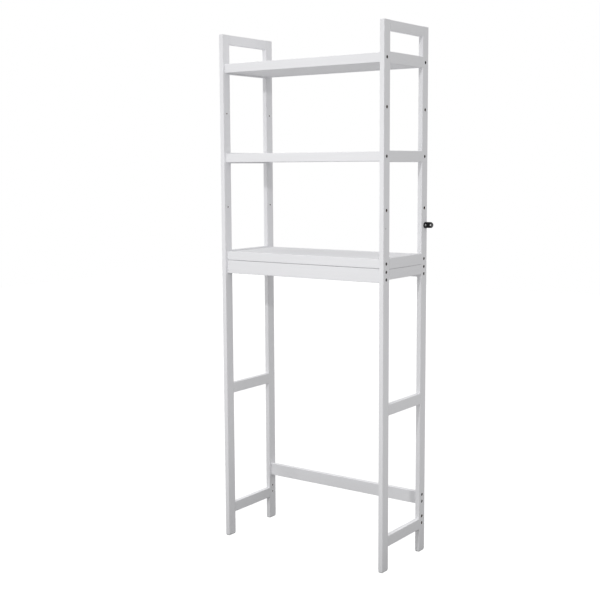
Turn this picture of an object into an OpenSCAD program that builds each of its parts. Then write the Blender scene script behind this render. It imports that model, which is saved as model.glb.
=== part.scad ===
// Over-the-toilet storage rack: two ladder-shaped side frames, each in an upper
// and a lower half, tied together by three shelves, two aprons and a low rear
// stretcher. Millimetres. X runs left to right, Y from front to wall, Z up.
// The origin is on the floor, under the middle of the rack.

/* [Overall] */
// Width across the outer faces of the side frames
rack_w = 615; // [480:1:760]
// Depth across the posts, front to wall
rack_d = 260; // [200:1:340]
// Height from the floor to the top of the handle rails
rack_h = 1650; // [1360:1:2000]

/* [Side frames] */
// Thickness of posts and side rails, across the rack
post_t = 15; // [12:0.5:22]
// Depth of a post, front to back
post_d = 34; // [28:0.5:50]
// Height of the shelf rails, the leg rail and the foot rail
rail_h = 34; // [26:0.5:50]
// Height of the handle rail that closes each frame at the top
handle_h = 30; // [22:0.5:45]
// Height of the rail that closes the top of each lower frame
join_rail_h = 31; // [22:0.5:45]
// Middle of the leg rail above the floor
leg_rail_level = 501; // [300:1:600]
// Middle of the foot rail above the floor
foot_rail_level = 92; // [60:1:130]
// Radius along the long edges of every board
edge_r = 1.5; // [0.5:0.1:3]

/* [Shelves] */
// Drop from the top of the rack to the bolt line of the top shelf
top_shelf_drop = 106.5; // [85:0.5:200]
// Pitch from the top shelf down to the middle shelf
upper_pitch = 284; // [160:0.5:360]
// Pitch from the middle shelf down to the bottom shelf
lower_pitch = 315.5; // [240:0.5:400]
// Height of a shelf's front and rear boards
board_h = 28; // [22:0.5:34]
// Thickness of a shelf's front and rear boards
board_t = 15; // [12:0.5:22]
// How far the panel lies inside the boards, at its top and at its underside
panel_reveal = 1; // [0:0.1:6]
// Gap between the panel and the front and rear boards
panel_gap = 2; // [0.5:0.1:5]
// Gap between the panel and the side frames
panel_end_gap = 1.5; // [0.5:0.1:5]
// Dowels along each long edge of a panel
panel_dowels = 4; // [2:1:7]

/* [Aprons and stretcher] */
// Gap between the bottom shelf's boards and the aprons under them
apron_seam = 1; // [0.5:0.5:8]
// Height of the front and rear aprons
apron_h = 42; // [34:0.5:60]
// How far the aprons may reach above the split between the frame halves
apron_lip = 2; // [0:0.5:3]
// Height of the rear stretcher
stretcher_h = 40; // [34:0.5:60]
// Middle of the rear stretcher above the floor
stretcher_level = 175; // [160:1:260]
// Drop from the stretcher to its lower, spare position
stretcher_drop = 71; // [40:1:110]

/* [Bolts and dowels] */
// Diameter of a bolt's shank
bolt_d = 5; // [4:0.5:6]
// Length of a bolt under its head
bolt_len = 45; // [35:1:60]
// Diameter of a bolt's round head
head_d = 8.5; // [7:0.1:9]
// Height of a bolt's head
head_h = 5; // [3:0.1:6]
// Size across the flats of the hex socket in a bolt's head
key_af = 4; // [2.5:0.1:5]
// Diameter of the counterbore that takes a bolt's head
counterbore_d = 10; // [9:0.1:11]
// Depth of the counterbore
counterbore_depth = 6; // [4:0.1:8]
// Distance between the two bolts at each end of an apron or stretcher
pair_pitch = 22.5; // [18:0.5:25]
// Outer diameter of the threaded insert in a board's end
insert_d = 8; // [7:0.1:9]
// Length of the threaded insert
insert_len = 14; // [10:0.5:20]
// Diameter of a wooden dowel
dowel_d = 6; // [5:0.5:8]
// Length of a dowel in a side frame or a shelf
dowel_len = 30; // [26:1:40]
// Distance from the edge of a rail to the middle of its outer dowel
dowel_edge = 7.5; // [5.5:0.1:8]
// Length of the pin that joins an upper post to its lower post
pin_len = 40; // [24:1:60]

/* [Wall brackets] */
// Length of each leg of an anti-tip bracket
bracket_leg = 23; // [20:0.5:40]
// Height of a bracket
bracket_w = 18.5; // [14:0.5:24]
// Thickness of a bracket's steel
bracket_t = 2; // [1.5:0.1:3]
// Middle of a bracket above the bolt line of the bottom shelf
bracket_rise = 104; // [60:1:140]
// Diameter of the hole for the wall screw
wall_hole_d = 4; // [3:0.1:6]
// Distance from a bracket's corner to the middle of each hole
bracket_hole_in = 13; // [11:0.1:20]
// Diameter of the screw that holds a bracket to its post
screw_d = 3.5; // [3:0.1:4.5]
// Length of that screw under its head
screw_len = 12; // [8:0.5:13]
// Diameter of that screw's head
screw_head_d = 7; // [6:0.1:8]

/* [Feet] */
// Thickness of the pad under each post
foot_t = 3; // [1.5:0.1:6]
// How far a pad lies inside the outline of its post
foot_margin = 1; // [0:0.1:3]

/* [Fits] */
// Radial play of a bolt's shank in a drilled hole
hole_play = 0.25; // [0.1:0.05:0.5]
// Radial play of a thread or a screw in its hole
thread_play = 0.05; // [0.02:0.01:0.1]
// Radial play of a dowel or an insert in its hole
dowel_play = 0.05; // [0.02:0.01:0.1]
// Room left at the bottom of each blind hole
end_play = 0.5; // [0.2:0.1:2]
// Least wall between two drillings that pass each other in a post
drill_wall = 2; // [1:0.1:3]

/* [Hidden] */

$fn = 48;
eps = 0.1;

left = -1;
right = 1;
front = -1;
rear = 1;

paint = "whitesmoke";
steel_black = "dimgray";
beech = "burlywood";
zinc = "silver";

// Levels of the shelf bolt lines and of the split between the frame halves
top_level = rack_h - top_shelf_drop;
middle_level = top_level - upper_pitch;
bottom_level = middle_level - lower_pitch;
shelf_levels = [top_level, middle_level, bottom_level];
split_z = bottom_level - rail_h / 2;

// Spare bolt positions, halfway between neighbouring shelves
spare_levels = [(top_level + middle_level) / 2, (middle_level + bottom_level) / 2];

// Middle lines of the posts, which carry the bolts and the boards
post_x = rack_w / 2 - post_t / 2;
post_y = rack_d / 2 - post_d / 2;
frame_face = rack_w / 2;
span_x = rack_w - 2 * post_t;
rail_len = rack_d - 2 * post_d;

handle_level = rack_h - handle_h / 2;
join_level = split_z - join_rail_h / 2;
// The aprons keep below the bottom shelf's boards and pass the split by no more than their lip
apron_top = min(split_z + apron_lip, bottom_level - board_h / 2 - apron_seam);
apron_level = apron_top - apron_h / 2;
spare_stretcher_level = stretcher_level - stretcher_drop;
bracket_level = bottom_level + bracket_rise;

// Each rail of a side frame: [middle level, height]
upper_rails = [
  [handle_level, handle_h],
  [top_level, rail_h],
  [middle_level, rail_h],
  [bottom_level, rail_h]
];
lower_rails = [
  [join_level, join_rail_h],
  [leg_rail_level, rail_h],
  [foot_rail_level, rail_h]
];

// A dowel stops short of the counterbore in the middle of its post
dowel_in_post = post_d / 2 - counterbore_d / 2 - drill_wall - end_play;
dowel_in_rail = dowel_len - dowel_in_post;
dowel_hole_d = dowel_d + 2 * dowel_play;
bolt_hole_d = bolt_d + 2 * hole_play;
// A joint pin stands between the outer edge of its post and the counterbore
pin_inset = (post_d / 2 - counterbore_d / 2) / 2;

// A panel dowel leaves this wall in the board it enters
board_wall = 5;
dowel_in_board = board_t - board_wall;
panel_d = 2 * (post_y - board_t / 2 - panel_gap);
panel_h = board_h - 2 * panel_reveal;
panel_w = span_x - 2 * panel_end_gap;
dowel_in_panel = dowel_len - dowel_in_board - panel_gap;
panel_dowel_pitch = panel_w / panel_dowels;

insert_recess = 1;
bolt_tip_x = frame_face - counterbore_depth - bolt_len;

screw_head_h = 2.4;
screw_hole_y = rack_d / 2 - bracket_hole_in;
pilot_depth = screw_len - bracket_t + end_play;
bend_r = bracket_t + 1;
// Cross recess in the bracket screw's head
recess_span = screw_head_d * 0.54;
recess_w = 0.9;
// Height at which the hex socket ends in a bolt's head, as a share of the head
socket_floor = 0.4;
foot_corner_r = 2;

// ---- Shapes shared by the sub-parts ----

// Flat outline with quarter-round corners, centred
module rounded_rect(w, h, r) {
  square([w - 2 * r, h], center = true);
  square([w, h - 2 * r], center = true);
  for (sx = [-1, 1], sy = [-1, 1])
    translate([sx * (w / 2 - r), sy * (h / 2 - r)]) circle(r = r);
}

// Board along X, centred: depth d, height h
module bar_x(len, d, h)
  rotate([90, 0, 90]) linear_extrude(len, center = true) rounded_rect(d, h, edge_r);

// Board along Y, centred: thickness t, height h
module bar_y(len, t, h)
  rotate([90, 0, 0]) linear_extrude(len, center = true) rounded_rect(t, h, edge_r);

// Round rod or drilling along X from x = 0 towards +X
module rod_x(len, d) rotate([0, 90, 0]) cylinder(h = len, d = d);

// Round rod or drilling along Y from y = 0 towards +Y
module rod_y(len, d) rotate([-90, 0, 0]) cylinder(h = len, d = d);

// Both sides of the rack: the children are drawn for the right side
module on_side(side) {
  if (side == right) children();
  if (side == left) mirror([1, 0, 0]) children();
}

// Front or rear: the children are drawn for the rear
module on_end(end) {
  if (end == rear) children();
  if (end == front) mirror([0, 1, 0]) children();
}

// Levels of the two dowels in one end of a rail
function dowel_levels(rail) =
  [for (s = [-1, 1]) rail[0] + s * (rail[1] / 2 - dowel_edge)];

// Levels of a pair of bolts about the middle of an apron or stretcher
function pair_levels(level) = [for (s = [-1, 1]) level + s * pair_pitch / 2];

// ---- Posts ----

// Bolt hole through the right rear post, with its counterbore outside
module post_bolt_hole(level) translate([0, post_y, level]) {
  translate([frame_face - post_t - eps, 0, 0]) rod_x(post_t + 2 * eps, bolt_hole_d);
  translate([frame_face - counterbore_depth, 0, 0])
    rod_x(counterbore_depth + eps, counterbore_d);
}

// Blind dowel holes in the inner edge of the right rear post
module post_dowel_holes(rails)
  for (rail = rails, level = dowel_levels(rail))
    translate([post_x, rack_d / 2 - post_d - eps, level])
      rod_y(dowel_in_post + end_play + eps, dowel_hole_d);

// Right rear post from z0 to z1, with the holes for its rails and bolts
module post(z0, z1, rails, bolt_levels) difference() {
  translate([post_x, post_y, z0])
    linear_extrude(z1 - z0) rounded_rect(post_t, post_d, edge_r);
  post_dowel_holes(rails);
  for (level = bolt_levels) post_bolt_hole(level);
  // half of the joint pin's hole, across the split
  translate([post_x, rack_d / 2 - pin_inset, split_z - pin_len / 2 - end_play])
    cylinder(h = pin_len + 2 * end_play, d = dowel_hole_d);
}

module upper_post(side, end) color(paint) on_side(side) on_end(end) difference() {
  post(split_z, rack_h, upper_rails, concat(shelf_levels, spare_levels));
  // pilot hole for the bracket's screw
  translate([frame_face - pilot_depth, screw_hole_y, bracket_level])
    rod_x(pilot_depth + eps, screw_d + 2 * thread_play);
}

module lower_post(side, end) color(paint) on_side(side) on_end(end)
  post(foot_t, split_z, lower_rails, end == rear
    ? concat(pair_levels(apron_level), pair_levels(stretcher_level),
             pair_levels(spare_stretcher_level))
    : pair_levels(apron_level));

// ---- Rails of the side frames ----

module side_rail(side, rail) color(paint) on_side(side) difference() {
  translate([post_x, 0, rail[0]]) bar_y(rail_len, post_t, rail[1]);
  for (end = [front, rear], level = dowel_levels(rail)) on_end(end)
    translate([post_x, rail_len / 2 - dowel_in_rail - end_play, level])
      rod_y(dowel_in_rail + end_play + eps, dowel_hole_d);
}

// ---- Shelves, aprons and stretcher ----

// Bolt hole and insert pocket in both ends of a board on the rear bolt line
module board_end_holes(level) for (side = [left, right]) on_side(side)
  translate([0, post_y, level]) {
    translate([bolt_tip_x - end_play, 0, 0])
      rod_x(span_x / 2 + eps - bolt_tip_x + end_play, bolt_hole_d);
    translate([span_x / 2 - insert_recess - insert_len, 0, 0])
      rod_x(insert_recess + insert_len + eps, insert_d + 2 * dowel_play);
  }

// Board between the side frames, bolted at the given levels
module cross_board(end, level, h, bolt_levels) color(paint) on_end(end) difference() {
  translate([0, post_y, level]) bar_x(span_x, board_t, h);
  for (z = bolt_levels) board_end_holes(z);
}

// Places of the dowels along the rear edge of a panel
module at_panel_dowels(level) for (i = [0 : panel_dowels - 1])
  translate([(i - (panel_dowels - 1) / 2) * panel_dowel_pitch,
             post_y - board_t / 2 + dowel_in_board - dowel_len, level]) children();

module shelf_board(end, level) color(paint) difference() {
  cross_board(end, level, board_h, [level]);
  on_end(end) at_panel_dowels(level) rod_y(dowel_len + end_play, dowel_hole_d);
}

module shelf_panel(level) color(paint) difference() {
  translate([0, 0, level]) bar_x(panel_w, panel_d, panel_h);
  for (end = [front, rear]) on_end(end) at_panel_dowels(level)
    translate([0, -end_play, 0]) rod_y(dowel_len + end_play, dowel_hole_d);
}

// ---- Fasteners ----

// Socket-head bolt on the rear bolt line of the right frame, head outwards
module bolt(level) translate([0, post_y, level]) difference() {
  union() {
    translate([bolt_tip_x, 0, 0]) rod_x(bolt_len + eps, bolt_d);
    translate([frame_face - counterbore_depth, 0, 0]) rod_x(head_h, head_d);
  }
  translate([frame_face - counterbore_depth + head_h * socket_floor, 0, 0])
    rotate([0, 90, 0]) cylinder(h = head_h, d = key_af / cos(30), $fn = 6);
}

// Threaded insert in the right end of a board on the rear bolt line
module insert(level)
  translate([span_x / 2 - insert_recess - insert_len, post_y, level]) difference() {
    rod_x(insert_len, insert_d);
    translate([-eps, 0, 0]) rod_x(insert_len + 2 * eps, bolt_d + 2 * thread_play);
  }

// The children, drawn for the rear right corner, at each of the listed ends
module at_corners(ends) for (side = [left, right], end = ends)
  on_side(side) on_end(end) children();

module bolts(levels, ends) color(steel_black)
  at_corners(ends) for (level = levels) bolt(level);

module inserts(levels, ends) color(zinc)
  at_corners(ends) for (level = levels) insert(level);

module frame_dowels(rails) color(beech) at_corners([front, rear])
  for (rail = rails, level = dowel_levels(rail))
    translate([post_x, rail_len / 2 - dowel_in_rail, level]) rod_y(dowel_len, dowel_d);

module shelf_dowels() color(beech)
  for (end = [front, rear], level = shelf_levels)
    on_end(end) at_panel_dowels(level) rod_y(dowel_len, dowel_d);

module frame_joint_pins() color(beech) at_corners([front, rear])
  translate([post_x, rack_d / 2 - pin_inset, split_z - pin_len / 2])
    cylinder(h = pin_len, d = dowel_d);

// ---- Wall brackets ----

// Round-ended leg of length len from x = start, in the X-Z plane, from y = 0 to -bracket_t
module bracket_plate(start, len) rotate([90, 0, 0]) linear_extrude(bracket_t) {
  translate([start, -bracket_w / 2]) square([len - start - bracket_w / 2, bracket_w]);
  translate([len - bracket_w / 2, 0]) circle(d = bracket_w);
}

// Leg along the wall, with the hole for the wall screw
module wall_leg() difference() {
  bracket_plate(bend_r, bracket_leg);
  translate([bracket_hole_in, -bracket_t - eps, 0])
    rod_y(bracket_t + 2 * eps, wall_hole_d);
}

// Leg on the post, with the hole for its screw
module post_leg() mirror([1, 1, 0]) difference() {
  bracket_plate(bend_r, bracket_leg);
  translate([bracket_hole_in, -bracket_t - eps, 0])
    rod_y(bracket_t + 2 * eps, screw_d + 2 * hole_play);
}

// Quarter bend between the two legs
module bracket_bend() translate([bend_r, -bend_r, -bracket_w / 2]) intersection() {
  difference() {
    cylinder(h = bracket_w, r = bend_r);
    translate([0, 0, -eps]) cylinder(h = bracket_w + 2 * eps, r = bend_r - bracket_t);
  }
  translate([-bend_r, 0, 0]) cube([bend_r, bend_r, bracket_w]);
}

module wall_bracket(side) color(steel_black) on_side(side)
  translate([frame_face, rack_d / 2, bracket_level]) {
    wall_leg();
    post_leg();
    bracket_bend();
  }

// Pan-head screw with a cross recess, through the bracket into the right rear post
module bracket_screw() translate([frame_face, screw_hole_y, bracket_level]) difference() {
  union() {
    translate([bracket_t - screw_len, 0, 0]) rod_x(screw_len + eps, screw_d);
    translate([bracket_t, 0, 0]) rod_x(screw_head_h * 0.6, screw_head_d);
    translate([bracket_t + screw_head_h * 0.6, 0, 0])
      rod_x(screw_head_h * 0.4, screw_head_d * 0.8);
  }
  for (turn = [0, 90]) rotate([turn, 0, 0])
    translate([bracket_t + screw_head_h / 2, -recess_span / 2, -recess_w / 2])
      cube([screw_head_h, recess_span, recess_w]);
}

module bracket_screws() color(zinc)
  for (side = [left, right]) on_side(side) bracket_screw();

// ---- Feet ----

module foot_pads() color("gainsboro") at_corners([front, rear])
  translate([post_x, post_y, 0]) linear_extrude(foot_t)
    rounded_rect(post_t - 2 * foot_margin, post_d - 2 * foot_margin, foot_corner_r);

// ---- The rack ----

upper_post(left, front);  // upper_post_left_front
upper_post(left, rear);  // upper_post_left_rear
upper_post(right, front);  // upper_post_right_front
upper_post(right, rear);  // upper_post_right_rear
lower_post(left, front);  // lower_post_left_front
lower_post(left, rear);  // lower_post_left_rear
lower_post(right, front);  // lower_post_right_front
lower_post(right, rear);  // lower_post_right_rear

side_rail(left, upper_rails[0]);  // handle_rail_left
side_rail(right, upper_rails[0]);  // handle_rail_right
side_rail(left, upper_rails[1]);  // top_side_rail_left
side_rail(right, upper_rails[1]);  // top_side_rail_right
side_rail(left, upper_rails[2]);  // middle_side_rail_left
side_rail(right, upper_rails[2]);  // middle_side_rail_right
side_rail(left, upper_rails[3]);  // bottom_side_rail_left
side_rail(right, upper_rails[3]);  // bottom_side_rail_right
side_rail(left, lower_rails[0]);  // join_rail_left
side_rail(right, lower_rails[0]);  // join_rail_right
side_rail(left, lower_rails[1]);  // leg_rail_left
side_rail(right, lower_rails[1]);  // leg_rail_right
side_rail(left, lower_rails[2]);  // foot_rail_left
side_rail(right, lower_rails[2]);  // foot_rail_right

shelf_board(front, top_level);  // top_shelf_front_board
shelf_board(rear, top_level);  // top_shelf_rear_board
shelf_panel(top_level);  // top_shelf_panel
shelf_board(front, middle_level);  // middle_shelf_front_board
shelf_board(rear, middle_level);  // middle_shelf_rear_board
shelf_panel(middle_level);  // middle_shelf_panel
shelf_board(front, bottom_level);  // bottom_shelf_front_board
shelf_board(rear, bottom_level);  // bottom_shelf_rear_board
shelf_panel(bottom_level);  // bottom_shelf_panel

cross_board(front, apron_level, apron_h, pair_levels(apron_level));  // front_apron
cross_board(rear, apron_level, apron_h, pair_levels(apron_level));  // rear_apron
cross_board(rear, stretcher_level, stretcher_h, pair_levels(stretcher_level));  // rear_stretcher

frame_dowels(upper_rails);  // upper_frame_dowels
frame_dowels(lower_rails);  // lower_frame_dowels
shelf_dowels();
frame_joint_pins();

bolts([top_level], [front, rear]);  // top_shelf_bolts
bolts([middle_level], [front, rear]);  // middle_shelf_bolts
bolts([bottom_level], [front, rear]);  // bottom_shelf_bolts
bolts(pair_levels(apron_level), [front, rear]);  // apron_bolts
bolts(pair_levels(stretcher_level), [rear]);  // stretcher_bolts

inserts([top_level], [front, rear]);  // top_shelf_inserts
inserts([middle_level], [front, rear]);  // middle_shelf_inserts
inserts([bottom_level], [front, rear]);  // bottom_shelf_inserts
inserts(pair_levels(apron_level), [front, rear]);  // apron_inserts
inserts(pair_levels(stretcher_level), [rear]);  // stretcher_inserts

wall_bracket(left);  // wall_bracket_left
wall_bracket(right);  // wall_bracket_right
bracket_screws();
foot_pads();
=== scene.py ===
"""Looks of the over-the-toilet storage rack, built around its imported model.

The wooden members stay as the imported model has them; here their sharp edges
are eased and they get a sprayed white finish.  Bolts, threaded inserts,
dowels, wall brackets, screws and foot pads are made here, as closed skins
worked out with numpy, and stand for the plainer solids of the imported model.

Metres throughout.  X runs left to right, Y from the front to the wall, Z up,
and the origin is on the floor under the middle of the rack.
"""

from __future__ import annotations

import logging
import math
from dataclasses import dataclass, field
from enum import Enum
from typing import Any, Callable

import bpy
import numpy as np
from mathutils import Matrix, Vector

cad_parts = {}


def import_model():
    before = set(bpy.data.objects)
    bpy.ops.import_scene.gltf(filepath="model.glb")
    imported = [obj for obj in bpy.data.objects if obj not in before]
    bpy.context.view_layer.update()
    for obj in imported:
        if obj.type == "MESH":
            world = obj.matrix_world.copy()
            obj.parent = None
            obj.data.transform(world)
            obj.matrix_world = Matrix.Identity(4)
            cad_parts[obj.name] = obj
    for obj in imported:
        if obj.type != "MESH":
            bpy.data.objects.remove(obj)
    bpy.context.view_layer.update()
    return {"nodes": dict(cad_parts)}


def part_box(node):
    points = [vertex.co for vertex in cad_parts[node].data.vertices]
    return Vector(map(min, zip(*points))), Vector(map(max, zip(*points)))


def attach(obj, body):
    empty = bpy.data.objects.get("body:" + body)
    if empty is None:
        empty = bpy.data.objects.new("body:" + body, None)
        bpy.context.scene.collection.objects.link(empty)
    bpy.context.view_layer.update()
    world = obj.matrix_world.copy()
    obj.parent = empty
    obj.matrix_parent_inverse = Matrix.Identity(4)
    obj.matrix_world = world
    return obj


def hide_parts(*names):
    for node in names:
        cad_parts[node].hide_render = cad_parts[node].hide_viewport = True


LOG = logging.getLogger("storage_rack")
MM = 0.001
TAU = 2 * np.pi
BODY = "root"
SHELVES = ("top", "middle", "bottom")
SIDES = ("left", "right")
ENDS = ("front", "rear")
UPPER_RAILS = ("handle_rail", "top_side_rail", "middle_side_rail", "bottom_side_rail")
LOWER_RAILS = ("join_rail", "leg_rail", "foot_rail")

Colour = tuple[float, float, float]
Box = tuple[Vector, Vector]
Spots = list[tuple[float, float]]
Socket = bpy.types.NodeSocket
Sockets = dict[str, Socket]


class Axis(Enum):
    """An axis of the rack, used for the way a board's grain runs."""

    X = 0
    Y = 1
    Z = 2


# ---- Skins: closed surfaces worked out as whole arrays ----


@dataclass
class Skin:
    """One or more closed surfaces: points, and faces with four or three corners."""

    points: np.ndarray
    quads: np.ndarray
    triangles: np.ndarray

    @staticmethod
    def _band(start_a: int, count_a: int, start_b: int, count_b: int) -> tuple[np.ndarray, np.ndarray]:
        """Joins two neighbouring rings of points, whose counts divide one another.

        Every edge of the finer ring is joined to the nearest points of the
        coarser one, as a quad where that point changes and else a triangle.

        Args:
            start_a: Index of the first ring's first point.
            count_a: Number of points in the first ring.
            start_b: Index of the second ring's first point.
            count_b: Number of points in the second ring.

        Returns:
            Quads and triangles, as arrays of point indices.
        """
        fine = max(count_a, count_b)
        here, there = np.arange(fine), (np.arange(fine) + 1) % fine
        share_a, share_b = fine // count_a, fine // count_b
        a0, a1 = (start_a + (edge + share_a // 2) // share_a % count_a for edge in (here, there))
        b0, b1 = (start_b + (edge + share_b // 2) // share_b % count_b for edge in (here, there))
        fan_a, fan_b = a0 == a1, b0 == b1
        quads = np.stack([a0, a1, b1, b0], 1)[~fan_a & ~fan_b]
        fans = [np.stack([a0, b1, b0], 1)[fan_a], np.stack([a0, a1, b0], 1)[fan_b]]
        return quads, np.concatenate(fans)

    @classmethod
    def over_rings(cls, bands: list[np.ndarray], looped: bool = False) -> Skin:
        """Stretches a skin over rings of points.

        Ring after ring the points turn anticlockwise about the way the rings
        advance, so faces point outwards.  The first and last rings are closed
        to a pole at their middle, unless the last ring joins the first.

        Args:
            bands: Arrays of shape (rings, points, 3), in order.
            looped: Whether the last ring joins the first, as in a tube's wall.

        Returns:
            The closed skin.
        """
        rings = [ring for band in bands for ring in band]
        counts = [len(ring) for ring in rings]
        starts = np.concatenate([[0], np.cumsum(counts)]).astype(int)
        pairs = [(i, i + 1) for i in range(len(rings) - 1)] + [(len(rings) - 1, 0)] * looped
        faces = [cls._band(starts[a], counts[a], starts[b], counts[b]) for a, b in pairs]
        triangles = [f[1] for f in faces]
        points = np.concatenate(rings)
        if not looped:
            first, last = np.arange(counts[0]), starts[-2] + np.arange(counts[-1])
            pole = np.full(counts[0], len(points))
            triangles.append(np.stack([pole, np.roll(first, -1), first], 1))
            pole = np.full(counts[-1], len(points) + 1)
            triangles.append(np.stack([pole, last, np.roll(last, -1)], 1))
            points = np.concatenate([points, [rings[0].mean(0)], [rings[-1].mean(0)]])
        return cls(points, np.concatenate([f[0] for f in faces]), np.concatenate(triangles))

    def moved(self, x: float = 0.0, y: float = 0.0, z: float = 0.0) -> Skin:
        """Returns a copy moved by x, y and z."""
        return Skin(self.points + np.array([x, y, z]), self.quads, self.triangles)

    def mirrored(self, axis: Axis) -> Skin:
        """Returns a copy mirrored across the plane through the origin, facing outwards."""
        flip = np.where(np.arange(3) == axis.value, -1.0, 1.0)
        return Skin(self.points * flip, self.quads[:, ::-1], self.triangles[:, ::-1])

    def turned(self, columns: tuple[int, int, int]) -> Skin:
        """Returns a copy whose axes are taken in another, equally handed order."""
        return Skin(self.points[:, columns], self.quads, self.triangles)

    @classmethod
    def joined(cls, skins: list[Skin]) -> Skin:
        """Puts several skins into one.

        Args:
            skins: The skins, which stay separate closed surfaces.

        Returns:
            One skin with all their points and faces.
        """
        shift = np.cumsum([0] + [len(s.points) for s in skins])
        return cls(
            np.concatenate([s.points for s in skins]),
            np.concatenate([s.quads + n for s, n in zip(skins, shift)]),
            np.concatenate([s.triangles + n for s, n in zip(skins, shift)]),
        )

    def mesh(self, name: str, crease: float = 32.0) -> bpy.types.Mesh:
        """Puts the skin into a mesh, smooth except across creases.

        Args:
            name: The mesh's name.
            crease: Angle in degrees between faces from which an edge is sharp.

        Returns:
            The mesh.
        """
        mesh = smooth_mesh(name, self.points, self.quads.tolist() + self.triangles.tolist())
        mesh.set_sharp_from_angle(angle=math.radians(crease))
        mesh.update()
        return mesh


def smooth_mesh(name: str, points: np.ndarray, faces: list[list[int]]) -> bpy.types.Mesh:
    """Makes a smoothly shaded mesh.

    Args:
        name: The mesh's name.
        points: Its points.
        faces: Its faces, as lists of point indices.

    Returns:
        The mesh.
    """
    mesh = bpy.data.meshes.new(name)
    mesh.from_pydata(points.tolist(), [], faces)
    mesh.validate()
    mesh.polygons.foreach_set("use_smooth", np.ones(len(mesh.polygons), bool))
    return mesh


def grid_quads(rows: int, columns: int, wrap: bool = False) -> np.ndarray:
    """Quads between the neighbouring points of a grid, numbered row by row.

    Args:
        rows: Number of rows.
        columns: Number of points in a row.
        wrap: Whether each row closes on itself.

    Returns:
        Quads that turn from a row to the next and then along it.
    """
    index = np.arange(rows * columns).reshape(rows, columns)
    if wrap:
        index = np.concatenate([index, index[:, :1]], 1)
    corners = [index[:-1, :-1], index[1:, :-1], index[1:, 1:], index[:-1, 1:]]
    return np.stack(corners, 2).reshape(-1, 4)


def rings_about_x(along: Any, radius: Any, count: int = 0) -> np.ndarray:
    """Rings of points about the X axis.

    A point is (along, radius cos(turn), radius sin(turn)) for equal turns.

    Args:
        along: Place of each ring on the axis.
        radius: Radius of each ring, or of each point (rings, points).
        count: Points in a ring, where radius gives one value for a ring.

    Returns:
        Points of shape (rings, points, 3).
    """
    radius = np.asarray(radius, float)
    if radius.ndim == 1:
        radius = np.repeat(radius[:, None], count, 1)
    place = np.repeat(np.asarray(along, float)[:, None], radius.shape[1], 1)
    turn = np.arange(radius.shape[1]) * TAU / radius.shape[1]
    return np.stack([place, radius * np.cos(turn), radius * np.sin(turn)], 2)


def thread_radius(along: np.ndarray, count: int, crest: float, depth: float, pitch: float) -> np.ndarray:
    """Radius of a right-handed screw thread over rings of points.

    The radius is the crest less the depth times a clipped triangle wave of
    (along / pitch - turn), which shrinks to nothing over a pitch at both ends.

    Args:
        along: Place of each ring on the axis, rising.
        count: Points in a ring.
        crest: Radius at the crest.
        depth: Depth of the thread, negative for one cut into a bore.
        pitch: Advance in one turn.

    Returns:
        Radii of shape (rings, points).
    """
    phase = (along[:, None] / pitch - np.arange(count) / count) % 1.0
    wave = np.clip(np.abs(2 * phase - 1) * 1.5 - 0.25, 0, 1)
    from_end = np.minimum(along - along[0], along[-1] - along)
    ramp = np.clip(from_end / pitch, 0, 1)[:, None]
    return crest - depth * (wave * ramp + (1 - ramp))


def hexagon_radius(count: int, across_flats: float) -> np.ndarray:
    """Distance to a hexagon's side: half the flats over the cosine of the turn from its middle."""
    turn = np.arange(count) * TAU / count
    return across_flats / 2 / np.cos((turn + np.pi / 6) % (np.pi / 3) - np.pi / 6)


def cross_radius(count: int, span: float, width: float) -> np.ndarray:
    """Distance to the edge of an upright cross.

    In each eighth of a turn it is the nearer of the arm's end, span / 2 over
    the cosine of the turn from the arm, and its side, width / 2 over the sine.

    Args:
        count: Points around, a multiple of eight.
        span: Length across two arms.
        width: Width of an arm.

    Returns:
        One radius for each point.
    """
    turn = (np.arange(count) * TAU / count + np.pi / 4) % (np.pi / 2) - np.pi / 4
    sine = np.maximum(np.abs(np.sin(turn)), 1e-6)
    return np.minimum(span / 2 / np.cos(turn), width / 2 / sine)


def rounded_outline(width: float, depth: float, corner: float, count: int) -> np.ndarray:
    """Outline of a rectangle with round corners, anticlockwise about its middle.

    A point is the middle of its quarter's corner plus corner times the
    direction (cos, sin) of the turn.

    Args:
        width: Size along the first axis.
        depth: Size along the second axis.
        corner: Radius of the corners.
        count: Points around, a multiple of four.

    Returns:
        Points of shape (count, 2).
    """
    turn = (np.arange(count) + 0.5) * TAU / count
    way = np.stack([np.cos(turn), np.sin(turn)], 1)
    middle = np.sign(way) * (np.array([width, depth]) / 2 - corner)
    return middle + corner * way


# ---- Wiring of materials, and the node groups that they share ----


def rgba(colour: Colour) -> tuple[float, float, float, float]:
    """Returns a colour with full opacity."""
    return (*colour, 1.0)


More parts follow.
